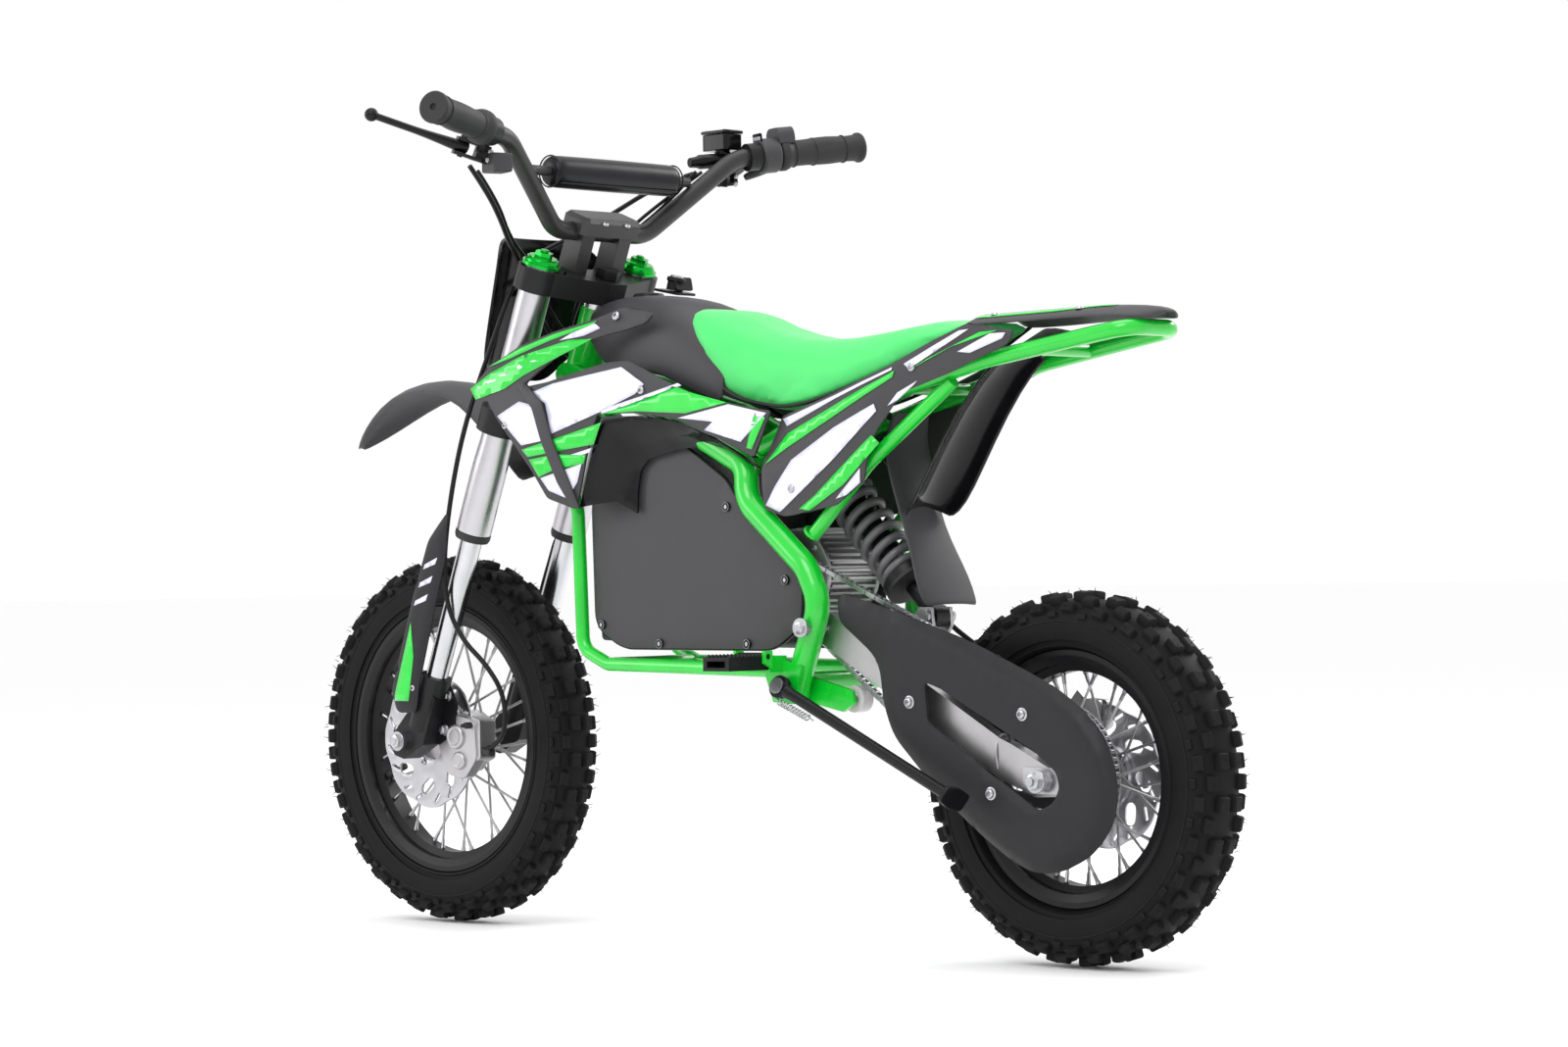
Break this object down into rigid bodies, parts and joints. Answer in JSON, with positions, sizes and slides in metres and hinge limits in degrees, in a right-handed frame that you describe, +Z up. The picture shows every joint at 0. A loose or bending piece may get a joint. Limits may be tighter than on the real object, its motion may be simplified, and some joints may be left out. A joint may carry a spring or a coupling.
{
  "type": "electric mini dirt bike",
  "caption": "Small ride-on electric off-road motorcycle with knobbly wire-spoked wheels, upside-down fork, swingarm with spring shock, padded seat and body panels.",
  "frame": {"origin": "on the floor, midway between the front of the front tyre and the back of the rear tyre, in the bike's middle plane", "axes": "+X forward, +Y to the rider's left, +Z up"},
  "size_m": [1.4294, 0.7176, 0.9699],
  "materials": {
    "frame_green": "gloss powder coat",
    "matte_black": "fine grained moulded plastic",
    "gloss_black": "polished",
    "black_metal": "satin black coat",
    "bar_metal": "satin grey-black coat",
    "raw_aluminium": "cast and machined",
    "tube_aluminium": "brushed along the tube",
    "chrome": "polished",
    "steel": "zinc plated",
    "tyre": "knobbly natural rubber",
    "grip_rubber": "soft moulded rubber",
    "hose": "smooth jacket",
    "seat_vinyl": "soft green vinyl",
    "spring_grey": "powder coat",
    "green_anodised": "anodised",
    "roller_white": "nylon",
    "guard_black": "moulded",
    "pad_black": "padded vinyl sleeve"
  },
  "bodies": {
    "chassis": {"main_frame": "frame_green", "rear_subframe": "frame_green", "battery_pack": "matte_black", "side_covers": "matte_black", "motor": "raw_aluminium", "shroud_left": "matte_black", "shroud_right": "matte_black", "scoops": "gloss_black", "side_panels": "matte_black", "tank_cover": "matte_black", "seat_cushion": "seat_vinyl", "tail_fender": "matte_black", "inner_fender": "gloss_black", "mud_flap": "matte_black", "frame_fasteners": "steel", "head_bearings": "chrome"},
    "steering": {"top_clamp": "black_metal", "bottom_clamp": "black_metal", "fork_tubes": "tube_aluminium", "fork_caps": "green_anodised", "handlebar": "bar_metal", "bar_clamp": "bar_metal", "bar_pad": "pad_black", "grip_left": "grip_rubber", "throttle_housing": "matte_black", "lever_perches": "black_metal", "number_plate": "gloss_black", "front_fender": "matte_black", "front_brake_hose": "hose", "rear_brake_hose": "hose"},
    "throttle": {"throttle_grip": "grip_rubber"},
    "lever_left": {"brake_lever_left": "black_metal"},
    "lever_right": {"brake_lever_right": "black_metal"},
    "fork_lower": {"stanchions": "chrome", "fork_feet": "black_metal", "fork_guards": "guard_black", "front_axle": "steel", "front_caliper": "raw_aluminium"},
    "front_wheel": {"front_tyre": "tyre", "front_rim": "black_metal", "front_hub": "raw_aluminium", "front_disc": "steel"},
    "swingarm": {"swingarm": "raw_aluminium", "rear_axle": "steel", "rear_caliper": "raw_aluminium", "chain_guard": "guard_black", "chain": "steel"},
    "rear_wheel": {"rear_tyre": "tyre", "rear_rim": "black_metal", "rear_hub": "raw_aluminium", "rear_disc": "steel", "rear_sprocket": "steel"},
    "shock_body": {"shock_body": "black_metal", "shock_spring": "spring_grey"},
    "shock_rod": {"shock_rod": "black_metal"},
    "motor_sprocket": {"motor_sprocket": "steel"},
    "chain_roller": {"chain_roller": "roller_white"},
    "kickstand": {"kickstand": "black_metal"},
    "peg_left": {"footpeg_left": "black_metal"},
    "peg_right": {"footpeg_right": "black_metal"}
  },
  "joints": [
    {"name": "steering_turn", "type": "hinge", "parent": "chassis", "child": "steering", "pos_m": [0.21275, 0, 0.7799], "axis": [-0.3714, 0, 0.9285], "range_deg": [-32, 32], "deforming": ["rear_brake_hose"]},
    {"name": "throttle_twist", "type": "hinge", "parent": "steering", "child": "throttle", "pos_m": [0.12325, -0.353, 0.953], "axis": [-0.3193, -0.9408, 0.114], "range_deg": [0, 70], "stiffness_Nm_per_rad": 0.3, "springref_deg": -22.92},
    {"name": "brake_left_squeeze", "type": "hinge", "parent": "steering", "child": "lever_left", "pos_m": [0.20525, 0.236, 0.922], "axis": [-0.271, -0.206, 0.9403], "range_deg": [0, 20], "stiffness_Nm_per_rad": 1.5, "springref_deg": -17.19},
    {"name": "brake_right_squeeze", "type": "hinge", "parent": "steering", "child": "lever_right", "pos_m": [0.21291, -0.21342, 0.91926], "axis": [0.271, -0.206, -0.9403], "range_deg": [0, 20], "stiffness_Nm_per_rad": 1.5, "springref_deg": -17.19},
    {"name": "fork_slide", "type": "slide", "parent": "steering", "child": "fork_lower", "axis": [-0.3714, 0, 0.9285], "range_m": [0, 0.085], "stiffness_N_per_m": 6000, "springref_m": -0.06, "deforming": ["front_brake_hose"]},
    {"name": "front_wheel_spin", "type": "hinge", "parent": "fork_lower", "child": "front_wheel", "pos_m": [0.48825, 0, 0.2265], "axis": [0, 1, 0], "continuous": true},
    {"name": "swingarm_swing", "type": "hinge", "parent": "chassis", "child": "swingarm", "pos_m": [-0.19675, 0, 0.365], "axis": [0, 1, 0], "range_deg": [0, 12], "stiffness_Nm_per_rad": 450, "springref_deg": -17.19, "deforming": ["chain"]},
    {"name": "rear_wheel_spin", "type": "hinge", "parent": "swingarm", "child": "rear_wheel", "pos_m": [-0.51275, 0, 0.202], "axis": [0, 1, 0], "continuous": true},
    {"name": "shock_tilt", "type": "hinge", "parent": "chassis", "child": "shock_body", "pos_m": [-0.14275, 0, 0.548], "axis": [0, 1, 0], "range_deg": [-0.2, 3.38]},
    {"name": "shock_stroke", "type": "slide", "parent": "shock_body", "child": "shock_rod", "axis": [0.6834, 0, 0.7301], "range_m": [-0.0005, 0.01971], "deforming": ["shock_spring"]},
    {"name": "motor_sprocket_spin", "type": "hinge", "parent": "chassis", "child": "motor_sprocket", "pos_m": [-0.12075, 0.046, 0.425], "axis": [0, 1, 0], "continuous": true},
    {"name": "chain_roller_spin", "type": "hinge", "parent": "chassis", "child": "chain_roller", "pos_m": [-0.22875, 0.046, 0.285], "axis": [0, 1, 0], "continuous": true},
    {"name": "kickstand_swing", "type": "hinge", "parent": "chassis", "child": "kickstand", "pos_m": [-0.16875, 0.106, 0.298], "axis": [0.099, -0.9531, -0.286], "range_deg": [0, 72], "stiffness_Nm_per_rad": 1, "springref_deg": -68.75},
    {"name": "peg_left_fold", "type": "hinge", "parent": "chassis", "child": "peg_left", "pos_m": [-0.14075, 0.124, 0.3335], "axis": [1, 0, 0], "range_deg": [0, 50], "stiffness_Nm_per_rad": 0.2, "springref_deg": -34.38},
    {"name": "peg_right_fold", "type": "hinge", "parent": "chassis", "child": "peg_right", "pos_m": [-0.14075, -0.124, 0.3335], "axis": [-1, 0, 0], "range_deg": [0, 50], "stiffness_Nm_per_rad": 0.2, "springref_deg": -34.38}
  ],
  "couplings": [
    {"joint": "shock_tilt", "follows": "swingarm_swing", "ratio": 0.25709},
    {"joint": "shock_stroke", "follows": "swingarm_swing", "m_per_rad": 0.090301},
    {"joint": "motor_sprocket_spin", "follows": "rear_wheel_spin", "ratio": 3.3333},
    {"joint": "chain_roller_spin", "follows": "rear_wheel_spin", "ratio": -5.3333}
  ]
}
